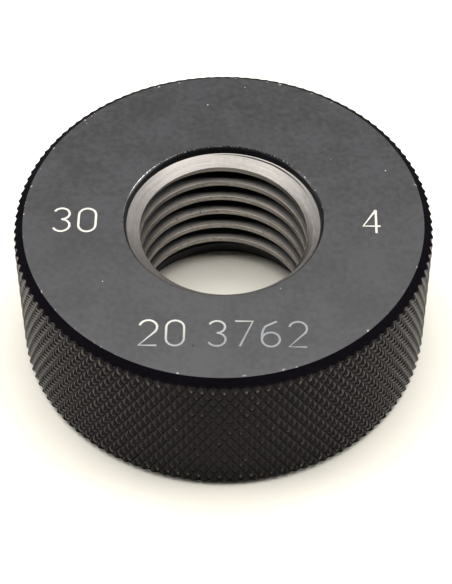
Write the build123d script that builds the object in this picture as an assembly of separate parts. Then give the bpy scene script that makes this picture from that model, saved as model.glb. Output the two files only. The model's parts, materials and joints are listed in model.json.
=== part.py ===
from build123d import *
from build123d.topology import SkipClean

import math
import os

# Thread ring gauge for M22 x 2.5, a GO ring turned from one piece of steel.
# Millimetres. The thread axis is Z, the lower face rests at Z = 0.

# Body
OUTER_DIA = 48.0
THICKNESS = 18.8
RIM_CHAMFER_IN = 1.1
RIM_CHAMFER_DOWN = 0.8

# Thread, ISO metric, right hand
THREAD_DIA = 22.0
THREAD_PITCH = 2.5
FLANK_ANGLE = 60.0
# Height of one groove's middle on the +X side
THREAD_START = 2.35

# Mouth at each end: edge break, recess and countersink
EDGE_BREAK = 0.2
RECESS_CLEARANCE = 0.3
RECESS_TAPER = 0.2
RECESS_DEPTH = 0.85
LOWER_RECESS_DEPTH = 2.2
SINK_ANGLE = 120.0

# Diamond knurl between the chamfers, about half as many diamonds round as on the real rim
KNURL_COUNT = 60
KNURL_ROWS = 4
KNURL_DEPTH = 0.34

# The bore wall is kept in this many sectors, so each crest face is a short arc
SECTORS = 4

HALF_FLANK = math.tan(math.radians(FLANK_ANGLE / 2))
SHARP_DEPTH = THREAD_PITCH / 2 / HALF_FLANK
MAJOR_R = THREAD_DIA / 2
# ISO basic profile: the thread is five eighths of the sharp triangle deep
MINOR_R = MAJOR_R - SHARP_DEPTH * 5 / 8
KNURL_BAND = THICKNESS - 2 * RIM_CHAMFER_DOWN


def mouth_points(recess_depth):
    """Half section of one mouth, as radius and depth below the face."""
    wall_r = MAJOR_R + RECESS_CLEARANCE
    floor_r = wall_r - RECESS_TAPER
    sink = (floor_r - MINOR_R) / math.tan(math.radians(SINK_ANGLE / 2))
    return [
        (wall_r + EDGE_BREAK, 0),
        (wall_r, EDGE_BREAK),
        (floor_r, recess_depth),
        (MINOR_R, recess_depth + sink),
    ]


def end_outline(recess_depth):
    """Half section from the rim over one face and into the bore, as radius and depth below the face."""
    rim = [(OUTER_DIA / 2, RIM_CHAMFER_DOWN), (OUTER_DIA / 2 - RIM_CHAMFER_IN, 0)]
    mouth = mouth_points(recess_depth)
    return rim + mouth + [(0, mouth[-1][1])]


def turned_blank():
    """The ring as turned, solid at the core, with both mouths."""
    upper = [(radius, THICKNESS - depth) for radius, depth in end_outline(RECESS_DEPTH)]
    lower = reversed(end_outline(LOWER_RECESS_DEPTH))
    section = make_face(Plane.XZ * Polyline(*upper, *lower, close=True))
    return revolve(section, Axis.Z)


def bore_sector():
    """One sector of the hole at the thread's minor diameter."""
    outline = [(0, 0), (MINOR_R, 0), (MINOR_R, THICKNESS), (0, THICKNESS)]
    section = make_face(Plane.XZ * Polyline(*outline, close=True))
    return revolve(section, Axis.Z, 360 / SECTORS)


def groove_sector():
    """One sector's length of the thread groove, its middle at Z = 0 on the +X side."""
    reach = THREAD_PITCH / 8
    crest_half = THREAD_PITCH * 3 / 8
    root_half = THREAD_PITCH / 16
    depth = MAJOR_R - MINOR_R
    helix = Helix(THREAD_PITCH, THREAD_PITCH / SECTORS, MINOR_R)
    plane = Plane(origin=helix @ 0, x_dir=(1, 0, 0), z_dir=(0, -1, 0))
    mouth_half = crest_half + reach * HALF_FLANK
    outline = [(-reach, -mouth_half), (depth, -root_half), (depth, root_half), (-reach, mouth_half)]
    return sweep(make_face(plane * Polyline(*outline, close=True)), path=helix, is_frenet=True)


def threaded_ring():
    """The blank with its bore and the helical groove, cut sector by sector."""
    ring = turned_blank()
    sector = bore_sector()
    for index in range(SECTORS):
        ring -= Rot(0, 0, index * 360 / SECTORS) * sector
    groove = groove_sector()
    first = -math.ceil(SECTORS * (THREAD_START / THREAD_PITCH + 1.5))
    last = math.ceil(SECTORS * ((THICKNESS - THREAD_START) / THREAD_PITCH + 0.5))
    turns = [
        Pos(0, 0, THREAD_START + index * THREAD_PITCH / SECTORS) * Rot(0, 0, index * 360 / SECTORS) * groove
        for index in range(first, last + 1)
    ]
    return ring.cut(*turns)


def knurl_corner(column, row):
    """A corner of the knurl's net, by turns the point of a diamond and the crossing of two grooves."""
    radius = OUTER_DIA / 2 - KNURL_DEPTH * ((column + row) % 2)
    angle = math.pi * column / KNURL_COUNT
    height = RIM_CHAMFER_DOWN + KNURL_BAND * row / (2 * KNURL_ROWS)
    return (radius * math.cos(angle), radius * math.sin(angle), height)


def knurl_flanks(column, row):
    """The two flanks in one cell of the net, which meet in the groove across it."""
    corners = [knurl_corner(column + right, row + up) for right, up in ((0, 0), (1, 0), (1, 1), (0, 1))]
    if (column + row) % 2:
        corners = corners[1:] + corners[:1]
    flanks = (corners[0], corners[1], corners[3]), (corners[1], corners[2], corners[3])
    return [Face(Wire.make_polygon(flank, close=True)) for flank in flanks]


def knurled_disc():
    """A disc as thick as the knurled band, its rim covered in four-sided diamonds."""
    columns = range(2 * KNURL_COUNT)
    faces = []
    for row in range(2 * KNURL_ROWS):
        for column in columns:
            faces += knurl_flanks(column, row)
    for row in (0, 2 * KNURL_ROWS):
        faces.append(Face(Wire.make_polygon([knurl_corner(column, row) for column in columns], close=True)))
    return Solid(Shell(faces))


def knurl_sleeve():
    """What the knurl takes off the rim: a sleeve with the diamonds hollow on its inside."""
    return Pos(0, 0, THICKNESS / 2) * Cylinder(OUTER_DIA / 2 + KNURL_DEPTH, KNURL_BAND) - knurled_disc()


os.makedirs("parts", exist_ok=True)
with SkipClean():
    gauge_ring = threaded_ring() - knurl_sleeve()
export_step(gauge_ring, "parts/gauge_ring.step")
print("minor diameter", round(2 * MINOR_R, 3), "volume", round(gauge_ring.volume, 1))
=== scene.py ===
"""Looks of a thread ring gauge: one turned, knurled and blackened steel ring in a soft studio."""

import json
import logging
import math
from collections.abc import Callable, Iterator
from contextlib import contextmanager
from dataclasses import dataclass
from enum import Enum

import bpy
from mathutils import Matrix, Vector


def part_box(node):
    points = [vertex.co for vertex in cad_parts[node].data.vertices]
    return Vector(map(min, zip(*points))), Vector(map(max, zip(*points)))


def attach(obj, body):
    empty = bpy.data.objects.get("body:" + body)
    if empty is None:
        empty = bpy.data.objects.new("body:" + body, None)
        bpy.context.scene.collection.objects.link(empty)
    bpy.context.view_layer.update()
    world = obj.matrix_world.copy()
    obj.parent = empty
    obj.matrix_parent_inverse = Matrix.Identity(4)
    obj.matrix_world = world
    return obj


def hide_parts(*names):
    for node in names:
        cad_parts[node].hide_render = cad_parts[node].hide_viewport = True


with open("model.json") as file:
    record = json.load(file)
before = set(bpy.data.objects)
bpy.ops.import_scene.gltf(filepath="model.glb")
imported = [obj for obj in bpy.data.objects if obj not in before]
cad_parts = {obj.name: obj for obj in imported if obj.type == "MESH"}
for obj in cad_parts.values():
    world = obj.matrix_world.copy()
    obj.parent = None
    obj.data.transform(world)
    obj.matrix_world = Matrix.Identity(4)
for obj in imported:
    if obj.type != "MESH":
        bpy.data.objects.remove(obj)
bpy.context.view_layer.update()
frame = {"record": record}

log = logging.getLogger("thread_ring_gauge")

MM = 0.001
NODE = "gauge_ring"
BODY = "root"

# The photograph's height in pixels
IMAGE_HEIGHT = 584

# How far a face's centre may be off the surface that it is taken for
NEAR = 0.01 * MM

Point = tuple[float, float]
Place = tuple[float, float, float]


class Region(Enum):
    """The surfaces of the ring that a machinist would name, in the order of their material slots."""

    FACE = 0
    RIM_CHAMFER = 1
    KNURL = 2
    EDGE_BREAK = 3
    RECESS = 4
    COUNTERSINK = 5
    THREAD = 6
    MARK = 7


def linear(code: str) -> tuple[float, float, float, float]:
    """Turn an sRGB hex colour into linear light.

    Args:
        code: six hex digits, such as "8A857B".

    Returns:
        The colour as linear red, green, blue and an alpha of one.
    """
    channels = [int(code[index : index + 2], 16) / 255 for index in (0, 2, 4)]
    light = [c / 12.92 if c <= 0.04045 else ((c + 0.055) / 1.055) ** 2.4 for c in channels]
    return (light[0], light[1], light[2], 1.0)


def add_node(tree: bpy.types.NodeTree, kind: str, settings: dict | None = None, links: dict | None = None):
    """Add one shader node.

    Args:
        tree: the node tree that it goes into.
        kind: the node's type name.
        settings: values by name, for the node's own properties or else for its inputs.
        links: input names, each with the output socket that feeds it.

    Returns:
        The new node.
    """
    node = tree.nodes.new(kind)
    for name, value in (settings or {}).items():
        if isinstance(name, str) and hasattr(node, name):
            setattr(node, name, value)
        else:
            node.inputs[name].default_value = value
    for name, socket in (links or {}).items():
        tree.links.new(socket, node.inputs[name])
    return node


def take(thing: bpy.types.Object) -> bpy.types.Object:
    """Select one object alone and make it active.

    Args:
        thing: the object to work on.

    Returns:
        The same object.
    """
    if bpy.context.object and bpy.context.object.mode != "OBJECT":
        bpy.ops.object.mode_set(mode="OBJECT")
    bpy.ops.object.select_all(action="DESELECT")
    thing.select_set(True)
    bpy.context.view_layer.objects.active = thing
    return thing


def start_piece(name: str) -> bpy.types.Object:
    """Name the primitive just added and put its place into its mesh.

    Args:
        name: the piece's name.

    Returns:
        The primitive's object.
    """
    piece = bpy.context.object
    piece.name = name
    piece.data.name = name
    take(piece)
    bpy.ops.object.transform_apply(location=True, rotation=True, scale=True)
    return piece


@contextmanager
def edit(piece: bpy.types.Object, mode: str = "VERT") -> Iterator[None]:
    """Stay in edit mode for a block.

    Args:
        piece: the mesh to edit.
        mode: the kind of element that is selected, VERT, EDGE or FACE.
    """
    take(piece)
    bpy.ops.object.mode_set(mode="EDIT")
    bpy.ops.mesh.select_mode(type=mode)
    try:
        yield
    finally:
        bpy.ops.object.mode_set(mode="OBJECT")


def select(piece: bpy.types.Object, mode: str, test: Callable) -> None:
    """Select, from edit mode, the vertices or the faces that pass a test, and nothing else.

    Args:
        piece: the mesh in edit mode.
        mode: the kind of element, VERT or FACE.
        test: says whether an element is wanted.
    """
    bpy.ops.object.mode_set(mode="OBJECT")
    mesh = piece.data
    tested = mesh.vertices if mode == "VERT" else mesh.polygons
    wanted = [test(element) for element in tested]
    for elements in (mesh.vertices, mesh.edges, mesh.polygons):
        elements.foreach_set("select", [False] * len(elements))
    tested.foreach_set("select", wanted)
    bpy.ops.object.mode_set(mode="EDIT")
    bpy.ops.mesh.select_mode(type=mode)


def apply_modifier(piece: bpy.types.Object, kind: str, **settings: object) -> None:
    """Add a modifier, set it and apply it.

    Args:
        piece: the mesh that it changes.
        kind: the modifier's type name.
        settings: the modifier's properties.
    """
    take(piece)
    modifier = piece.modifiers.new(kind.title(), kind)
    for name, value in settings.items():
        setattr(modifier, name, value)
    bpy.ops.object.modifier_apply(modifier=modifier.name)


def combine(piece: bpy.types.Object, tool: bpy.types.Object, operation: str) -> None:
    """Cut a piece with a tool, or keep what the two share, and remove the tool.

    Args:
        piece: the mesh that stays.
        tool: the closed mesh that is used up.
        operation: DIFFERENCE, INTERSECT or UNION.
    """
    apply_modifier(piece, "BOOLEAN", object=tool, operation=operation, solver="EXACT")
    take(tool)
    bpy.ops.object.delete()
    with edit(piece):
        bpy.ops.mesh.select_all(action="SELECT")
        bpy.ops.mesh.remove_doubles(threshold=0.002 * MM)
        bpy.ops.mesh.dissolve_degenerate(threshold=0.001 * MM)


@dataclass
class TurnedBlank:
    """The ring off the lathe: flat faces, rim chamfers and the two mouths, with its core still in."""

    radius: float
    height: float
    mouth_radius: float
    minor_radius: float
    thread_low: float
    thread_high: float
    chamfer_in: float = 1.1 * MM
    chamfer_down: float = 0.8 * MM
    edge_break: float = 0.2 * MM
    recess_taper: float = 0.2 * MM
    sink_angle: float = math.radians(120)
    core_radius: float = 9.0 * MM
    spare: float = 0.4 * MM
    segments: int = 360

    @property
    def floor_radius(self) -> float:
        """Radius at the bottom of a recess, where its countersink begins."""
        return self.mouth_radius - self.recess_taper

    def sink_depth(self, radius: float, thread_depth: float) -> float:
        """Say how deep a countersink is at a radius.

        Args:
            radius: the distance from the axis.
            thread_depth: how far below the face the thread's crests begin.

        Returns:
            The depth below the face.
        """
        return thread_depth - (radius - self.minor_radius) / math.tan(self.sink_angle / 2)

    def half_outline(self, thread_depth: float) -> list[Point]:
        """Give the half section of one end, from the rim over the face and into the mouth.

        Args:
            thread_depth: how far below the face the thread's crests begin.

        Returns:
            The points, as radius and depth below the face.
        """
        grow = (self.chamfer_in + self.spare) / self.chamfer_in
        return [
            (self.radius + self.spare, self.chamfer_down * grow),
            (self.radius - self.chamfer_in, 0.0),
            (self.mouth_radius + self.edge_break, 0.0),
            (self.mouth_radius, self.edge_break),
            (self.floor_radius, self.sink_depth(self.floor_radius, thread_depth)),
            (self.core_radius, self.sink_depth(self.core_radius, thread_depth)),
        ]

    def build(self) -> bpy.types.Object:
        """Turn the blank from a disc at the lower mouth's floor outwards, up and into the upper mouth."""
        upper = self.half_outline(self.height - self.thread_high)
        outline = self.half_outline(self.thread_low)[::-1]
        outline += [(radius, self.height - depth) for radius, depth in upper]
        radius, height = outline[0]
        bpy.ops.mesh.primitive_circle_add(
            vertices=self.segments, radius=radius, fill_type="NGON", location=(0, 0, height)
        )
        blank = start_piece("ring_body")
        with edit(blank, "FACE"):
            bpy.ops.mesh.select_all(action="SELECT")
            for next_radius, next_height in outline[1:]:
                bpy.ops.mesh.extrude_region_move(
                    TRANSFORM_OT_translate={"value": (0, 0, next_height - height)}
                )
                ratio = next_radius / radius
                bpy.ops.transform.resize(value=(ratio, ratio, 1), center_override=(0, 0, next_height))
                radius, height = next_radius, next_height
            bpy.ops.mesh.select_all(action="SELECT")
            bpy.ops.mesh.normals_make_consistent(inside=False)
        return blank


@dataclass
class DiamondKnurl:
    """The rolled diamond pattern of the rim, as a closed roll that the blank is cut to."""

    radius: float
    height: float
    around: int = 126
    groove_angle: float = math.radians(30)
    depth: float = 0.34 * MM
    crest_share: float = 0.16
    # Lifts the pattern, so that a row of crests comes just under the upper chamfer
    shift: float = 0.15 * MM
    spare: float = 2.0 * MM

    @property
    def width(self) -> float:
        """Width of one diamond along the rim."""
        return 2 * math.pi * self.radius / self.around

    @property
    def length(self) -> float:
        """Height of one diamond along the axis."""
        return self.width / math.tan(self.groove_angle)

    def diamond(self) -> bpy.types.Object:
        """Model one flat-topped pyramid and the one that sits up and to the right of it."""
        bpy.ops.mesh.primitive_circle_add(
            vertices=4, radius=1, fill_type="NGON", location=(0, self.depth, 0), rotation=(math.pi / 2, 0, 0)
        )
        tile = start_piece("knurl_roll")
        with edit(tile, "FACE"):
            bpy.ops.mesh.select_all(action="SELECT")
            bpy.ops.transform.resize(
                value=(self.width / 2, 1, self.length / 2), center_override=(0, self.depth, 0)
            )
            bpy.ops.mesh.extrude_region_move(TRANSFORM_OT_translate={"value": (0, -self.depth, 0)})
            bpy.ops.transform.resize(value=(self.crest_share, 1, self.crest_share), center_override=(0, 0, 0))
            select(tile, "FACE", lambda face: face.center.y > self.depth * 0.99)
            bpy.ops.mesh.delete(type="FACE")
            bpy.ops.mesh.select_all(action="SELECT")
            bpy.ops.mesh.duplicate_move(
                TRANSFORM_OT_translate={"value": (self.width / 2, 0, self.length / 2)}
            )
        return tile

    def build(self) -> bpy.types.Object:
        """Repeat the diamonds into a strip, bend it round and close its two ends."""
        roll = self.diamond()
        rows = math.ceil(self.height / self.length) + 1
        for count, offset in ((self.around, (self.width, 0, 0)), (rows, (0, 0, self.length))):
            apply_modifier(
                roll,
                "ARRAY",
                count=count,
                use_relative_offset=False,
                use_constant_offset=True,
                constant_offset_displace=offset,
            )
        # The strip is half a diamond longer than the rim, where its two zigzag ends meet
        turn = 2 * math.pi * (self.around + 0.5) / self.around
        apply_modifier(roll, "SIMPLE_DEFORM", deform_method="BEND", deform_axis="Z", angle=turn)
        middle = (rows - 0.5) * self.length / 2
        with edit(roll):
            bpy.ops.mesh.select_all(action="SELECT")
            bpy.ops.mesh.remove_doubles(threshold=0.001 * MM)
            bpy.ops.mesh.select_all(action="SELECT")
            bpy.ops.transform.translate(value=(0, -self.radius, self.height / 2 - middle + self.shift))
        for side in (-1, 1):
            self.close_end(roll, side)
        with edit(roll, "FACE"):
            bpy.ops.mesh.select_all(action="SELECT")
            bpy.ops.mesh.normals_make_consistent(inside=False)
        return roll

    def close_end(self, roll: bpy.types.Object, side: int) -> None:
        """Carry one zigzag end out to a flat loop and fill it.

        Args:
            roll: the bent strip.
            side: 1 for the upper end, -1 for the lower one.
        """
        level = self.height / 2 + side * (self.height / 2 + self.length + self.spare)
        with edit(roll):
            bpy.ops.mesh.select_non_manifold(
                extend=False, use_wire=False, use_multi_face=False, use_non_contiguous=False, use_verts=False
            )
            select(roll, "VERT", lambda end: end.select and (end.co.z - self.height / 2) * side > 0)
            bpy.ops.mesh.extrude_region_move(TRANSFORM_OT_translate={"value": (0, 0, 0)})
            bpy.ops.transform.resize(value=(1, 1, 0), center_override=(0, 0, level))
            bpy.ops.mesh.edge_face_add()


@dataclass
class ThreadPlug:
    """What the tap takes out: a cylinder with the ISO metric ridge, a right-hand helix."""

    minor_radius: float
    major_radius: float
    height: float
    pitch: float = 2.5 * MM
    start: float = 2.35 * MM
    edge: float = 0.03 * MM
    steps: int = 144

    def one_pitch(self) -> list[Point]:
        """Give the radius and height of one turn's outline, from the middle of the crest land up."""
        land = self.pitch / 8
        rise = self.pitch * 5 / 16
        ease = self.edge * 0.5
        bottom = [
            (self.minor_radius, land - self.edge * 0.6),
            (self.minor_radius + self.edge * 0.6, land + ease),
            (self.major_radius, land + rise),
        ]
        top = [(radius, self.pitch - height) for radius, height in reversed(bottom)]
        return bottom + top

    def build(self) -> bpy.types.Object:
        """Draw one pitch from a point, screw it up the bore and saw both ends flat."""
        turns = math.ceil(self.height / self.pitch) + 4
        first = self.start - self.pitch * 2.5
        points = [(self.minor_radius, 0.0)] + self.one_pitch() + [(self.minor_radius, self.pitch)]
        bpy.ops.mesh.primitive_plane_add(size=1, location=(self.minor_radius, 0, first))
        plug = start_piece("thread_plug")
        with edit(plug):
            bpy.ops.mesh.select_all(action="SELECT")
            bpy.ops.mesh.merge(type="CENTER")
            for (radius, height), (next_radius, next_height) in zip(points, points[1:]):
                step = (next_radius - radius, 0, next_height - height)
                bpy.ops.mesh.extrude_region_move(TRANSFORM_OT_translate={"value": step})
        apply_modifier(
            plug,
            "SCREW",
            axis="Z",
            angle=2 * math.pi,
            screw_offset=self.pitch,
            iterations=turns,
            steps=self.steps,
            render_steps=self.steps,
            use_smooth_shade=False,
        )
        with edit(plug):
            bpy.ops.mesh.select_all(action="SELECT")
            bpy.ops.mesh.remove_doubles(threshold=0.001 * MM)
        for height, above in ((-1 * MM, False), (self.height + 1 * MM, True)):
            with edit(plug):
                bpy.ops.mesh.select_all(action="SELECT")
                bpy.ops.mesh.bisect(
                    plane_co=(0, 0, height),
                    plane_no=(0, 0, 1),
                    use_fill=True,
                    clear_outer=above,
                    clear_inner=not above,
                    threshold=0.0001 * MM,
                )
        with edit(plug, "FACE"):
            bpy.ops.mesh.select_all(action="SELECT")
            bpy.ops.mesh.normals_make_consistent(inside=False)
        return plug


def arc(centre: Point, radii: Point, start: float, end: float, steps: int = 10) -> list[Point]:
    """Give the points of an elliptic arc.

    Args:
        centre: the middle of the ellipse.
        radii: its half width and half height.
        start: the first angle in degrees, anticlockwise from the right.
        end: the last angle in degrees.
        steps: the number of runs.

    Returns:
        The points, both ends included.
    """
    angles = [math.radians(start + (end - start) * index / steps) for index in range(steps + 1)]
    return [(centre[0] + radii[0] * math.cos(a), centre[1] + radii[1] * math.sin(a)) for a in angles]


def numeral(sign: str) -> list[list[Point]]:
    """Draw one numeral in plain strokes, in a box one unit high and 0.56 wide.

    Args:
        sign: a digit that the marks use, or a point.

    Returns:
        The strokes, each as its points in order.
    """
    wide = 0.56
    half = wide / 2
    high = 1 - half
    waist = 0.52
    drawings: dict[str, list[list[Point]]] = {
        "0": [
            arc((half, high), (half, half), 0, 180)
            + arc((half, half), (half, half), 180, 360)
            + [(wide, high)]
        ],
        "2": [arc((half, high), (half, half), 165, -35) + [(0, 0), (wide, 0)]],
        "3": [
            arc((half, (1 + waist) / 2), (half * 0.92, (1 - waist) / 2), 155, -90),
            arc((half, waist / 2), (half, waist / 2), 90, -155),
        ],
        "4": [[(0.42, 1), (0, 0.3), (wide, 0.3)], [(0.42, 1), (0.42, 0)]],
        "6": [
            [(0.46, 1)] + arc((half, 0.4), (half, 0.5), 125, 180, 4) + [(0, half)],
            arc((half, half), (half, half), 0, 360, 20),
        ],
        "7": [[(0, 1), (wide, 1), (0.16, 0)]],
        ".": [[(0, 0), (0.03, 0)]],
    }
    return drawings[sign]


@dataclass
class EngravedNumber:
    """One plain number, cut into the upper face with a round-nosed cutter."""

    digits: str
    left: float
    base: float
    face: float
    size: float = 3.5 * MM
    spacing: float = 2.95 * MM
    point_spacing: float = 1.6 * MM
    lean: float = math.radians(-1.2)
    cutter: float = 0.165 * MM
    lift: float = 0.1 * MM

    def bar(self, stroke: list[Point], left: float) -> bpy.types.Object:
        """Cut one stroke as a round bar.

        Args:
            stroke: its points, one unit being a numeral's height.
            left: the numeral's left side along the line, from the number's start.

        Returns:
            The bar as a closed mesh.
        """
        turn = Matrix.Rotation(self.lean, 2)
        places = [
            Vector((self.left, self.base)) + turn @ Vector((left + x * self.size, y * self.size))
            for x, y in stroke
        ]
        height = self.face + self.lift
        bpy.ops.mesh.primitive_plane_add(size=1, location=(places[0].x, places[0].y, height))
        bar = start_piece("stroke")
        with edit(bar):
            bpy.ops.mesh.select_all(action="SELECT")
            bpy.ops.mesh.merge(type="CENTER")
            for here, there in zip(places, places[1:]):
                step = (there.x - here.x, there.y - here.y, 0)
                bpy.ops.mesh.extrude_region_move(TRANSFORM_OT_translate={"value": step})
            bpy.ops.mesh.select_all(action="SELECT")
            bpy.ops.mesh.remove_doubles(threshold=0.001 * MM)
        take(bar)
        bpy.ops.object.convert(target="CURVE")
        bar = bpy.context.object
        bar.data.bevel_depth = self.cutter
        bar.data.bevel_resolution = 3
        bar.data.use_fill_caps = True
        bpy.ops.object.convert(target="MESH")
        bar = bpy.context.object
        with edit(bar):
            bpy.ops.mesh.select_all(action="SELECT")
            bpy.ops.mesh.remove_doubles(threshold=0.001 * MM)
            bpy.ops.mesh.normals_make_consistent(inside=False)
        return bar

    def build(self) -> list[bpy.types.Object]:
        """Cut every stroke's bar along the line."""
        bars = []
        left = 0.0
        for sign in self.digits:
            bars += [self.bar(stroke, left) for stroke in numeral(sign)]
            left += self.point_spacing if sign == "." else self.spacing
        return bars


def distance_from_axis(tree: bpy.types.NodeTree, place: bpy.types.NodeSocket) -> bpy.types.NodeSocket:
    """Work out how far a point of the surface is from the thread's axis.

    Args:
        tree: the material's node tree.
        place: the socket with the point's place on the object.

    Returns:
        The socket with the distance in metres.
    """
    flat = add_node(tree, "ShaderNodeVectorMath", {"operation": "MULTIPLY", 1: (1, 1, 0)}, {0: place})
    length = add_node(tree, "ShaderNodeVectorMath", {"operation": "LENGTH"}, {0: flat.outputs[0]})
    return length.outputs["Value"]


@dataclass(frozen=True)
class Finish:
    """What every surface of the ring has: a name, a colour range, a gloss and a grain."""

    name: str
    colour: str
    patch: str
    roughness: float
    grain: float
    relief: float

    def start(self) -> tuple[bpy.types.Material, bpy.types.NodeTree, bpy.types.NodeSocket]:
        """Make the empty material and find the place on the object."""
        made = bpy.data.materials.new(self.name)
        made.use_nodes = True
        place = add_node(made.node_tree, "ShaderNodeTexCoord").outputs["Object"]
        return made, made.node_tree, place

    @staticmethod
    def dots(
        tree: bpy.types.NodeTree,
        place: bpy.types.NodeSocket,
        spacing: float,
        share: float,
        reach: Point,
        strength: float = 1.0,
    ) -> bpy.types.NodeSocket:
        """Scatter small round dots.

        Args:
            tree: the material's node tree.
            place: the socket with the place on the object.
            spacing: the size of the cells, each with room for one dot.
            share: the share of the cells that have one.
            reach: where a dot begins and where it is full, in cells from its middle.
            strength: the value in a dot.

        Returns:
            The socket with the dots, 0 between them.
        """
        cells = add_node(tree, "ShaderNodeTexVoronoi", {"Scale": 1 / spacing}, {"Vector": place})
        near = add_node(
            tree,
            "ShaderNodeMapRange",
            {"From Min": reach[0], "From Max": reach[1], "To Max": strength},
            {"Value": cells.outputs["Distance"]},
        )
        pick = add_node(tree, "ShaderNodeSeparateColor", links={"Color": cells.outputs["Color"]})
        chosen = add_node(tree, "ShaderNodeMath", {"operation": "LESS_THAN", 1: share}, {0: pick.outputs[0]})
        return add_node(
            tree,
            "ShaderNodeMath",
            {"operation": "MULTIPLY"},
            {0: near.outputs["Result"], 1: chosen.outputs[0]},
        ).outputs[0]


@dataclass(frozen=True)
class BlackedSteel(Finish):
    """Hot blacked steel: a thin magnetite skin with an oily sheen, rubbed bright where it is handled."""

    worn: str = "C4C0BB"
    specular: float = 0.5
    worn_from: float = 0.0
    worn_to: float = 0.0
    wear_grain: float = 0.5 * MM
    wear_share: float = 0.0
    speck_spacing: float = 0.9 * MM
    speck_share: float = 0.0
    scratches: float = 0.0
    rubbed: float = 1.0
    leaning: float = 0.0
    middle: float = 0.0
    ends_from: float = 0.0
    ends_gain: float = 0.0
    # Where painted shade in the grooves by the chamfers is full, from the middle of the height, and its
    # colour
    painted_shade_at: float = 0.0
    painted_shade_colour: str = "060507"
    cloud_size: float = 5 * MM
    mottle_size: float = 0.7 * MM

    def material(self) -> bpy.types.Material:
        """Cloud the oxide, then rub it through along its edges, in scratches and in fine specks."""
        made, tree, place = self.start()
        shader = tree.nodes["Principled BSDF"]
        shader.inputs["Specular IOR Level"].default_value = self.specular
        clouds, mottle, grain = (
            add_node(tree, "ShaderNodeTexNoise", {"Scale": 1 / size, "Detail": detail}, {"Vector": place})
            for size, detail in ((self.cloud_size, 5), (self.mottle_size, 3), (self.grain, 2))
        )
        blend = add_node(
            tree,
            "ShaderNodeMath",
            {"operation": "ADD"},
            {0: clouds.outputs["Fac"], 1: mottle.outputs["Fac"]},
        )
        patchy = add_node(
            tree, "ShaderNodeMapRange", {"From Min": 0.8, "From Max": 1.2}, {"Value": blend.outputs[0]}
        )
        tint = add_node(
            tree,
            "ShaderNodeMix",
            {"data_type": "RGBA", 6: linear(self.colour), 7: linear(self.patch)},
            {"Factor": patchy.outputs["Result"]},
        )
        bare = self.bare_metal(tree, place)
        skin = add_node(
            tree,
            "ShaderNodeMix",
            {"data_type": "RGBA", 7: linear(self.worn)},
            {"Factor": bare, 6: tint.outputs[2]},
        )
        cover = skin.outputs[2]
        rough = add_node(
            tree,
            "ShaderNodeMapRange",
            {"To Min": self.roughness - 0.1, "To Max": self.roughness + 0.1},
            {"Value": mottle.outputs["Fac"]},
        )
        gloss = rough.outputs["Result"]
        if self.painted_shade_at:
            # Painted shade: the grooves go dull and black where the chamfers cut them, in place of their
            # shadow
            cut = self.towards_ends(tree, place, self.painted_shade_at - 0.15 * MM, self.painted_shade_at)
            cover = add_node(
                tree,
                "ShaderNodeMix",
                {"data_type": "RGBA", 7: linear(self.painted_shade_colour)},
                {"Factor": cut, 6: cover},
            ).outputs[2]
            gloss = add_node(
                tree, "ShaderNodeMath", {"operation": "MULTIPLY_ADD", 1: 0.5}, {0: cut, 2: gloss}
            ).outputs[0]
            bare = add_node(
                tree, "ShaderNodeMath", {"operation": "SUBTRACT", "use_clamp": True}, {0: bare, 1: cut}
            ).outputs[0]
        tree.links.new(cover, shader.inputs["Base Color"])
        tree.links.new(bare, shader.inputs["Metallic"])
        tree.links.new(gloss, shader.inputs["Roughness"])
        bump = add_node(
            tree,
            "ShaderNodeBump",
            {"Strength": 1.0, "Distance": self.relief},
            {"Height": grain.outputs["Fac"]},
        )
        tree.links.new(bump.outputs["Normal"], shader.inputs["Normal"])
        return made

    def bare_metal(self, tree: bpy.types.NodeTree, place: bpy.types.NodeSocket) -> bpy.types.NodeSocket:
        """Say where the oxide is rubbed through.

        Args:
            tree: the material's node tree.
            place: the socket with the place on the object.

        Returns:
            The socket with the share of bare metal, from 0 to 1.
        """
        radius = distance_from_axis(tree, place)
        edge = add_node(
            tree,
            "ShaderNodeMapRange",
            {"From Min": self.worn_from, "From Max": self.worn_to},
            {"Value": radius},
        )
        chips = add_node(
            tree, "ShaderNodeTexNoise", {"Scale": 1 / self.wear_grain, "Detail": 4}, {"Vector": place}
        )
        # The left side is knocked more than the right, by the share that it leans in each millimetre
        apart = add_node(tree, "ShaderNodeSeparateXYZ", links={"Vector": place})
        sided = add_node(
            tree,
            "ShaderNodeMath",
            {"operation": "MULTIPLY_ADD", 1: -self.leaning / MM},
            {0: apart.outputs["X"], 2: chips.outputs["Fac"]},
        )
        if self.ends_gain:
            rows = self.towards_ends(tree, place, self.ends_from, self.ends_from + 0.4 * MM)
            sided = add_node(
                tree,
                "ShaderNodeMath",
                {"operation": "MULTIPLY_ADD", 1: self.ends_gain},
                {0: rows, 2: sided.outputs[0]},
            )
        limit = 0.78 - 0.5 * self.wear_share
        chipped = add_node(
            tree,
            "ShaderNodeMapRange",
            {"From Min": limit, "From Max": limit + 0.04},
            {"Value": sided.outputs[0]},
        )
        along_edge = add_node(
            tree,
            "ShaderNodeMath",
            {"operation": "MULTIPLY"},
            {0: edge.outputs["Result"], 1: chipped.outputs["Result"]},
        )
        specks = self.dots(tree, place, self.speck_spacing, self.speck_share, reach=(0.10, 0.05))
        worn = add_node(
            tree, "ShaderNodeMath", {"operation": "MAXIMUM"}, {0: along_edge.outputs[0], 1: specks}
        ).outputs[0]
        if self.scratches:
            worn = self.scratched(tree, place, worn)
        return add_node(
            tree, "ShaderNodeMath", {"operation": "MULTIPLY", 1: self.rubbed}, {0: worn}
        ).outputs[0]

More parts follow.
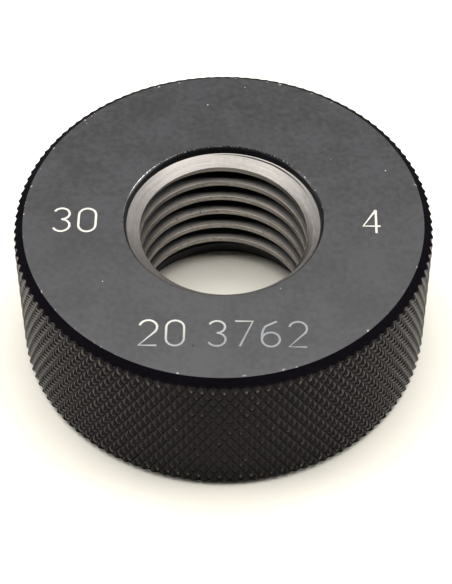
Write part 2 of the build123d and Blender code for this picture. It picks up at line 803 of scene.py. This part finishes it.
    def towards_ends(
        self, tree: bpy.types.NodeTree, place: bpy.types.NodeSocket, start: float, full: float
    ) -> bpy.types.NodeSocket:
        """Say how near a place is to either end of the rim.

        Args:
            tree: the material's node tree.
            place: the socket with the place on the object.
            start: the distance from the middle of the height where the share begins.
            full: the distance where it is one.

        Returns:
            The socket with the share, from 0 to 1.
        """
        apart = add_node(tree, "ShaderNodeSeparateXYZ", links={"Vector": place})
        offset = add_node(
            tree, "ShaderNodeMath", {"operation": "SUBTRACT", 1: self.middle}, {0: apart.outputs["Z"]}
        )
        away = add_node(tree, "ShaderNodeMath", {"operation": "ABSOLUTE"}, {0: offset.outputs[0]})
        return add_node(
            tree, "ShaderNodeMapRange", {"From Min": start, "From Max": full}, {"Value": away.outputs[0]}
        ).outputs["Result"]

    def scratched(
        self, tree: bpy.types.NodeTree, place: bpy.types.NodeSocket, worn: bpy.types.NodeSocket
    ) -> bpy.types.NodeSocket:
        """Add long thin scratches in three directions.

        Args:
            tree: the material's node tree.
            place: the socket with the place on the object.
            worn: the socket with the share of bare metal so far.

        Returns:
            The socket with the scratches added.
        """
        # Real scratches are some hundredths of a millimetre wide, here a tenth so that they show
        for turn in (25, -40, 82):
            lined = add_node(
                tree,
                "ShaderNodeMapping",
                {"Rotation": (0, 0, math.radians(turn)), "Scale": (1 / (9 * MM), 1 / (0.22 * MM), 0)},
                {"Vector": place},
            )
            streak = add_node(
                tree, "ShaderNodeTexNoise", {"Scale": 1.0, "Detail": 1}, {"Vector": lined.outputs[0]}
            )
            thin = add_node(
                tree,
                "ShaderNodeMapRange",
                {"From Min": 0.72, "From Max": 0.8, "To Max": self.scratches},
                {"Value": streak.outputs["Fac"]},
            )
            worn = add_node(
                tree, "ShaderNodeMath", {"operation": "MAXIMUM"}, {0: worn, 1: thin.outputs["Result"]}
            ).outputs[0]
        return worn


@dataclass(frozen=True)
class LappedThread(Finish):
    """Steel lapped bright after the blacking, with oxide left in the roots and painted shade under the
    crests.
    """

    bright_above: float
    mouth: str
    mouth_patch: str
    crest: str
    # Colour of the oxide in the roots, also used as painted shade under the crests
    root: str = "121111"
    pitch: float = 2.5 * MM
    crest_to: float = 9.68 * MM
    flank_from: float = 9.74 * MM
    # Radii where the bright flank turns into root oxide and painted shade
    bright_to: float = 9.88 * MM
    oxide_and_shade_from: float = 10.2 * MM
    fade: float = 0.6 * MM
    lead: float = 1.0
    spotting: float = 1.0
    pit_spacing: float = 0.4 * MM
    pit_share: float = 0.0
    spot_size: float = 0.45 * MM
    metal: float = 1.0

    def material(self) -> bpy.types.Material:
        """Run the marks along the cut, let the root go black with oxide and painted shade, and leave the part
        by the mouth bright.
        """
        made, tree, place = self.start()
        shader = tree.nodes["Principled BSDF"]
        radius = distance_from_axis(tree, place)
        apart = add_node(tree, "ShaderNodeSeparateXYZ", links={0: place})
        angle = add_node(
            tree, "ShaderNodeMath", {"operation": "ARCTAN2"}, {0: apart.outputs["Y"], 1: apart.outputs["X"]}
        )
        # Height less the helix's climb gives the place in the pitch, which is made to repeat every pitch
        climb = add_node(
            tree,
            "ShaderNodeMath",
            {"operation": "MULTIPLY", 1: 2 * math.pi / self.pitch},
            {0: apart.outputs["Z"]},
        )
        phase = add_node(
            tree, "ShaderNodeMath", {"operation": "SUBTRACT"}, {0: climb.outputs[0], 1: angle.outputs[0]}
        )
        sine, cosine = (
            add_node(tree, "ShaderNodeMath", {"operation": name}, {0: phase.outputs[0]})
            for name in ("SINE", "COSINE")
        )
        loop = add_node(tree, "ShaderNodeCombineXYZ", links={"Y": sine.outputs[0], "Z": cosine.outputs[0]})
        sized = add_node(
            tree,
            "ShaderNodeVectorMath",
            {"operation": "SCALE", "Scale": self.lead * self.pitch / (2 * math.pi)},
            {0: loop.outputs[0]},
        )
        outward = add_node(tree, "ShaderNodeCombineXYZ", links={"X": radius})
        drift = add_node(tree, "ShaderNodeVectorMath", {"operation": "SCALE", "Scale": 0.03}, {0: place})
        along = sized
        for part in (outward, drift):
            pair = {0: along.outputs[0], 1: part.outputs[0]}
            along = add_node(tree, "ShaderNodeVectorMath", {"operation": "ADD"}, pair)
        marks = add_node(
            tree, "ShaderNodeTexNoise", {"Scale": 1 / self.grain, "Detail": 3}, {"Vector": along.outputs[0]}
        )
        spots = add_node(
            tree, "ShaderNodeTexNoise", {"Scale": 1 / self.spot_size, "Detail": 5}, {"Vector": place}
        )
        blend = add_node(
            tree,
            "ShaderNodeMath",
            {"operation": "MULTIPLY_ADD", 1: self.spotting},
            {0: spots.outputs["Fac"], 2: marks.outputs["Fac"]},
        )
        even = (1 + self.spotting) / 2
        shade = add_node(
            tree,
            "ShaderNodeMapRange",
            {"From Min": even - 0.25, "From Max": even + 0.25},
            {"Value": blend.outputs[0]},
        )
        ranges = ((self.colour, self.patch), (self.mouth, self.mouth_patch), (self.patch, self.crest))
        tint, bright, rubbed = (
            add_node(
                tree,
                "ShaderNodeMix",
                {"data_type": "RGBA", 6: linear(dark), 7: linear(light)},
                {"Factor": shade.outputs["Result"]},
            )
            for dark, light in ranges
        )
        flank = add_node(
            tree,
            "ShaderNodeMapRange",
            {"From Min": self.crest_to, "From Max": self.flank_from},
            {"Value": radius},
        )
        turned = add_node(
            tree,
            "ShaderNodeMix",
            {"data_type": "RGBA"},
            {"Factor": flank.outputs["Result"], 6: rubbed.outputs[2], 7: tint.outputs[2]},
        )
        inside = add_node(
            tree,
            "ShaderNodeMapRange",
            {
                "From Min": self.bright_above,
                "From Max": self.bright_above - self.fade,
                "interpolation_type": "SMOOTHSTEP",
            },
            {"Value": apart.outputs["Z"]},
        )
        steel = add_node(
            tree,
            "ShaderNodeMix",
            {"data_type": "RGBA"},
            {"Factor": inside.outputs["Result"], 6: bright.outputs[2], 7: turned.outputs[2]},
        )
        # The edge of the black, oxide in the roots and painted shade under the crests, wanders by some tenths
        # of a millimetre
        wander = add_node(
            tree,
            "ShaderNodeMath",
            {"operation": "MULTIPLY_ADD", 1: 0.3 * MM},
            {0: spots.outputs["Fac"], 2: radius},
        )
        black = add_node(
            tree,
            "ShaderNodeMapRange",
            {"From Min": self.bright_to + 0.15 * MM, "From Max": self.oxide_and_shade_from + 0.15 * MM},
            {"Value": wander.outputs[0]},
        )
        pits = self.dots(tree, place, self.pit_spacing, self.pit_share, reach=(0.34, 0.2), strength=0.8)
        pits_oxide_and_shade = add_node(
            tree, "ShaderNodeMath", {"operation": "MAXIMUM"}, {0: black.outputs["Result"], 1: pits}
        )
        # Oxide and painted shade, kept out of the bright part by the mouth
        oxide_and_shade = add_node(
            tree,
            "ShaderNodeMath",
            {"operation": "MULTIPLY"},
            {0: pits_oxide_and_shade.outputs[0], 1: inside.outputs["Result"]},
        )
        skin = add_node(
            tree,
            "ShaderNodeMix",
            {"data_type": "RGBA", 7: linear(self.root)},
            {"Factor": oxide_and_shade.outputs[0], 6: steel.outputs[2]},
        )
        tree.links.new(skin.outputs[2], shader.inputs["Base Color"])
        clean = add_node(
            tree,
            "ShaderNodeMapRange",
            {"To Min": self.metal, "To Max": 1.0},
            {"Value": inside.outputs["Result"]},
        )
        metal = add_node(
            tree,
            "ShaderNodeMapRange",
            {"To Max": 0.0},
            {"Value": oxide_and_shade.outputs[0], "To Min": clean.outputs["Result"]},
        )
        tree.links.new(metal.outputs["Result"], shader.inputs["Metallic"])
        rough = add_node(
            tree,
            "ShaderNodeMapRange",
            {"To Min": self.roughness - 0.1, "To Max": self.roughness + 0.1},
            {"Value": spots.outputs["Fac"]},
        )
        tree.links.new(rough.outputs["Result"], shader.inputs["Roughness"])
        bump = add_node(
            tree, "ShaderNodeBump", {"Strength": 1.0, "Distance": self.relief}, {"Height": blend.outputs[0]}
        )
        tree.links.new(bump.outputs["Normal"], shader.inputs["Normal"])
        return made


@dataclass(frozen=True)
class EngravedSteel(Finish):
    """Engraving cut through the oxide: a broken bright floor that scatters light, duller towards the front
    right.
    """

    dull_at: float = -17.5 * MM
    bright_at: float = -11.3 * MM
    skew: float = -0.3

    def material(self) -> bpy.types.Material:
        """Let the cut go from its dull colour at the front right to its bright one."""
        made, tree, place = self.start()
        shader = tree.nodes["Principled BSDF"]
        shader.inputs["Roughness"].default_value = self.roughness
        across = add_node(
            tree, "ShaderNodeVectorMath", {"operation": "DOT_PRODUCT", 1: (self.skew, 1, 0)}, {0: place}
        )
        # Duller towards the front right, brighter towards the back left
        rubbed = add_node(
            tree,
            "ShaderNodeMapRange",
            {"From Min": self.dull_at, "From Max": self.bright_at},
            {"Value": across.outputs["Value"]},
        )
        crumbs = add_node(
            tree, "ShaderNodeTexNoise", {"Scale": 1 / self.grain, "Detail": 3}, {"Vector": place}
        )
        uneven = add_node(
            tree,
            "ShaderNodeMath",
            {"operation": "MULTIPLY_ADD", 1: 0.35, "use_clamp": True},
            {0: crumbs.outputs["Fac"], 2: rubbed.outputs["Result"]},
        )
        tint = add_node(
            tree,
            "ShaderNodeMix",
            {"data_type": "RGBA", 6: linear(self.colour), 7: linear(self.patch)},
            {"Factor": uneven.outputs[0]},
        )
        tree.links.new(tint.outputs[2], shader.inputs["Base Color"])
        bump = add_node(
            tree,
            "ShaderNodeBump",
            {"Strength": 1.0, "Distance": self.relief},
            {"Height": crumbs.outputs["Fac"]},
        )
        tree.links.new(bump.outputs["Normal"], shader.inputs["Normal"])
        return made


@dataclass
class GaugeRing:
    """The whole gauge: the blank, its knurl, its thread and its marks, cut into one piece."""

    radius: float
    height: float
    minor_radius: float
    thread_low: float
    thread_high: float
    major_radius: float = 11.0 * MM
    mouth_clearance: float = 0.3 * MM

    def region_of(self, blank: TurnedBlank, centre: Vector, normal: Vector) -> Region:
        """Name the surface that a face belongs to.

        Args:
            blank: the turned shape, for its sizes.
            centre: the face's centre.
            normal: the face's normal.

        Returns:
            The region.
        """
        radius = math.hypot(centre.x, centre.y)
        upper = centre.z > self.height / 2
        depth = self.height - centre.z if upper else centre.z
        thread_depth = self.height - self.thread_high if upper else self.thread_low
        chamfer_depth = blank.chamfer_down * (radius - self.radius + blank.chamfer_in) / blank.chamfer_in
        if depth < 0.002 * MM and abs(normal.z) > 0.999:
            return Region.FACE
        if radius > self.radius - blank.chamfer_in - NEAR:
            on_cone = abs(depth - chamfer_depth) < NEAR and abs(normal.z) > 0.7
            return Region.RIM_CHAMFER if on_cone else Region.KNURL
        if radius > blank.mouth_radius + blank.edge_break:
            return Region.MARK
        if radius > blank.mouth_radius and depth < blank.edge_break:
            return Region.EDGE_BREAK
        upright = abs(normal.z) < 0.5
        if radius > self.major_radius + 0.02 * MM and upright:
            return Region.RECESS
        # Where the thread runs out through the countersink, its root is turned bright with it
        in_root = radius > self.major_radius - 0.06 * MM and depth < thread_depth and upright
        on_sink = abs(depth - blank.sink_depth(radius, thread_depth)) < NEAR and abs(normal.z) > 0.8
        return Region.COUNTERSINK if in_root or on_sink else Region.THREAD

    def build(self) -> bpy.types.Object:
        """Turn, knurl, thread and mark the ring, then give each surface its finish."""
        blank = TurnedBlank(
            radius=self.radius,
            height=self.height,
            mouth_radius=self.major_radius + self.mouth_clearance,
            minor_radius=self.minor_radius,
            thread_low=self.thread_low,
            thread_high=self.thread_high,
        )
        ring = blank.build()
        combine(ring, DiamondKnurl(self.radius, self.height).build(), "INTERSECT")
        combine(ring, ThreadPlug(self.minor_radius, self.major_radius, self.height).build(), "DIFFERENCE")
        # Plain numbers, the basic pitch diameter in front, half the flank angle on the left and a four
        numbers = (
            EngravedNumber(
                "20.3762", -9.3 * MM, -18.35 * MM, self.height, cutter=0.155 * MM, lift=0.092 * MM
            ),
            EngravedNumber("30", -19.5 * MM, -1.75 * MM, self.height),
            EngravedNumber("4", 15.9 * MM, -2.3 * MM, self.height),
        )
        for number in numbers:
            for bar in number.build():
                combine(ring, bar, "DIFFERENCE")
        self.dress(ring, blank)
        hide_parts(NODE)
        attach(ring, BODY)
        log.info("%s: %d faces", ring.name, len(ring.data.polygons))
        return ring

    def dress(self, ring: bpy.types.Object, blank: TurnedBlank) -> None:
        """Fill the material slots and give each face its region's slot.

        Args:
            ring: the finished mesh.
            blank: the turned shape, for its sizes.
        """
        finishes = self.finishes(blank)
        ring.data.materials.clear()
        for region in Region:
            ring.data.materials.append(finishes[region].material())
        for face in ring.data.polygons:
            face.material_index = self.region_of(blank, face.center, face.normal).value
        take(ring)
        bpy.ops.object.shade_smooth_by_angle(angle=math.radians(24))
        self.sharpen_borders(ring)
        apply_modifier(ring, "WEIGHTED_NORMAL", keep_sharp=True)

    def finishes(self, blank: TurnedBlank) -> dict[Region, Finish]:
        """Choose the finish of each surface.

        Args:
            blank: the turned shape, for its sizes.

        Returns:
            The finish by region.
        """
        face_edge = self.radius - blank.chamfer_in
        mouth = blank.mouth_radius
        return {
            # Ground and then blacked, so the oxide is satin grey with scratches through to the steel
            Region.FACE: BlackedSteel(
                "ground_blacked_face", "242324", "313032", 0.4, 0.25 * MM, 0.001 * MM,
                specular=0.55, worn_from=face_edge - 0.3 * MM, worn_to=face_edge - 0.05 * MM,
                wear_share=0.25, speck_share=0.02, scratches=0.012,
            ),
            # Turned and then blacked thickly, so the oxide is a dead black with hardly a sheen
            Region.RIM_CHAMFER: BlackedSteel(
                "turned_blacked_chamfer", "09070B", "0C0A0E", 0.6, 0.2 * MM, 0.0005 * MM,
                specular=0.01, speck_share=0.01,
            ),
            # Rolled and then blacked, brown-black with rubbed crests, and painted shade in the grooves by the
            # chamfers
            Region.KNURL: BlackedSteel(
                "rolled_blacked_knurl", "0E090E", "160F15", 0.24, 0.2 * MM, 0.006 * MM,
                specular=0.1, worn="5A544D",
                worn_from=self.radius - 0.1 * MM, worn_to=self.radius - 0.03 * MM, wear_share=0.36,
                speck_share=0.01, rubbed=0.7, middle=self.height / 2,
                ends_from=self.height / 2 - 2.2 * MM, ends_gain=0.16,
                painted_shade_at=self.height / 2 - blank.chamfer_down,
            ),
            # Knocked and chipped bright where plugs have caught it
            Region.EDGE_BREAK: BlackedSteel(
                "chipped_mouth_edge", "0B0B0C", "121213", 0.35, 0.1 * MM, 0.004 * MM,
                worn_from=mouth + 0.11 * MM, worn_to=mouth + 0.15 * MM, wear_share=0.5, wear_grain=0.16 * MM,
                leaning=0.007,
            ),
            Region.RECESS: BlackedSteel(
                "turned_blacked_recess", "101012", "17171A", 0.35, 0.2 * MM, 0.001 * MM,
                specular=0.3,
            ),
            # Turned bright after the blacking, with fine rings from the tool, so it catches a silky light
            Region.COUNTERSINK: LappedThread(
                "turned_bright_countersink", "7F7A75", "9D9893", 0.4, 0.08 * MM, 0.002 * MM,
                bright_above=-1 * MM, mouth="7F7A75", mouth_patch="9D9893", crest="ACA7A3",
                lead=0.0, spotting=0.3, metal=0.8,
            ),
            # Lapped after the blacking, so the crests shine and the roots stay black with oxide, with painted
            # shade under the crests
            Region.THREAD: LappedThread(
                "lapped_thread_steel", "4C4842", "69625B", 0.42, 0.08 * MM, 0.002 * MM,
                bright_above=self.thread_high - 0.2 * MM,
                mouth="7F7A75", mouth_patch="9D9893", crest="ACA7A3", spotting=0.5, pit_share=0.16, metal=0.8,
            ),
            Region.MARK: EngravedSteel(
                "engraved_bare_steel", "6E7379", "CDCABF", 0.65, 0.15 * MM, 0.01 * MM
            ),
        }

    def sharpen_borders(self, ring: bpy.types.Object) -> None:
        """Keep the shading of one surface from running into the next, and leave the ground face flat.

        Args:
            ring: the mesh with its material slots given.
        """
        touching: dict[tuple[int, int], set[int]] = {}
        for face in ring.data.polygons:
            face.use_smooth = face.material_index != Region.FACE.value
            for key in face.edge_keys:
                touching.setdefault(key, set()).add(face.material_index)
        for line in ring.data.edges:
            if len(touching[line.key]) > 1:
                line.use_edge_sharp = True


@dataclass
class Studio:
    """A pale floor, five soft boxes and the camera of the photograph."""

    top: float
    elevation: float = 48.072
    distance: float = 233.08 * MM
    focal_pixels: float = 2040.55
    yaw: float = 0.0011
    pitch: float = -0.036
    roll: float = 0.3204
    sensor: float = 24.0

    def place_camera(self) -> bpy.types.Object:
        """Stand the camera where the photograph was taken from, aimed as it was."""
        rise = math.radians(self.elevation)
        offset = Vector((0, -math.cos(rise), math.sin(rise))) * self.distance
        bpy.ops.object.camera_add(location=offset + Vector((0, 0, self.top)))
        camera = bpy.context.object
        ahead = -offset.normalized()
        right = Vector((1, 0, 0))
        above = right.cross(ahead)
        turn = Matrix.Rotation(-self.yaw, 3, above)
        ahead, right = turn @ ahead, turn @ right
        tip = Matrix.Rotation(self.pitch, 3, right)
        ahead = tip @ ahead
        above = right.cross(ahead)
        lean = Matrix.Rotation(math.radians(self.roll), 3, ahead)
        right, above = lean @ right, lean @ above
        camera.rotation_euler = Matrix((right, above, -ahead)).transposed().to_euler()
        camera.data.sensor_fit = "VERTICAL"
        camera.data.sensor_height = self.sensor
        camera.data.lens = self.focal_pixels / IMAGE_HEIGHT * self.sensor
        camera.data.clip_start = 0.01
        bpy.context.scene.camera = camera
        return camera

    def soft_box(self, name: str, place: Place, size: Point, power: float) -> None:
        """Hang one rectangular light that faces the ring and isn't itself seen.

        Args:
            name: the light's name.
            place: its middle, in metres.
            size: its width and depth, in metres.
            power: its power in watts.
        """
        bpy.ops.object.light_add(type="AREA", location=place)
        light = bpy.context.object
        light.name = name
        light.data.shape = "RECTANGLE"
        light.data.size, light.data.size_y = size
        light.data.energy = power
        light.rotation_euler = (-Vector(place)).to_track_quat("-Z", "Y").to_euler()
        light.visible_camera = False

    def floor(self) -> bpy.types.Object:
        """Lay the pale floor."""
        bpy.ops.mesh.primitive_plane_add(size=4, location=(0, 0, 0))
        ground = start_piece("floor")
        made = bpy.data.materials.new("pale_floor")
        made.use_nodes = True
        shader = made.node_tree.nodes["Principled BSDF"]
        shader.inputs["Base Color"].default_value = linear("F6F0E3")
        shader.inputs["Roughness"].default_value = 0.8
        ground.data.materials.append(made)
        return ground

    def build(self) -> None:
        """Set the floor, the lights, the surroundings and the camera."""
        self.floor()
        self.soft_box("overhead_box", (0.0, 0.1, 0.7), (1.0, 0.68), 11.4)
        self.soft_box("left_side_box", (-0.66, 0.0, 0.2), (0.3, 0.3), 2.2)
        self.soft_box("right_side_box", (0.66, 0.0, 0.2), (0.3, 0.3), 2.4)
        self.soft_box("left_back_box", (-0.42, 0.42, 0.35), (0.15, 0.15), 0.16)
        self.soft_box("right_back_box", (0.42, 0.42, 0.35), (0.15, 0.15), 0.16)
        world = bpy.data.worlds.new("studio")
        bpy.context.scene.world = world
        world.use_nodes = True
        world.node_tree.nodes["Background"].inputs["Strength"].default_value = 0.0
        bpy.context.scene.view_settings.view_transform = "Standard"
        bpy.context.scene.view_settings.look = "None"
        self.place_camera()


def main() -> None:
    """Build the ring from the frame's own sizes and set the studio round it."""
    logging.basicConfig(level=logging.INFO, format="%(name)s: %(message)s")
    low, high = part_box(NODE)
    thread = next(mount for mount in frame["record"]["mounts"] if mount["name"] == "thread")
    half_thread = thread["dims"]["length_mm"] * MM / 2
    ring = GaugeRing(
        radius=(high[0] - low[0]) / 2,
        height=high[2] - low[2],
        minor_radius=thread["dims"]["r_mm"] * MM,
        thread_low=thread["pos_m"][2] - half_thread,
        thread_high=thread["pos_m"][2] + half_thread,
    )
    ring.build()
    Studio(top=high[2]).build()


if __name__ == "__main__":
    main()
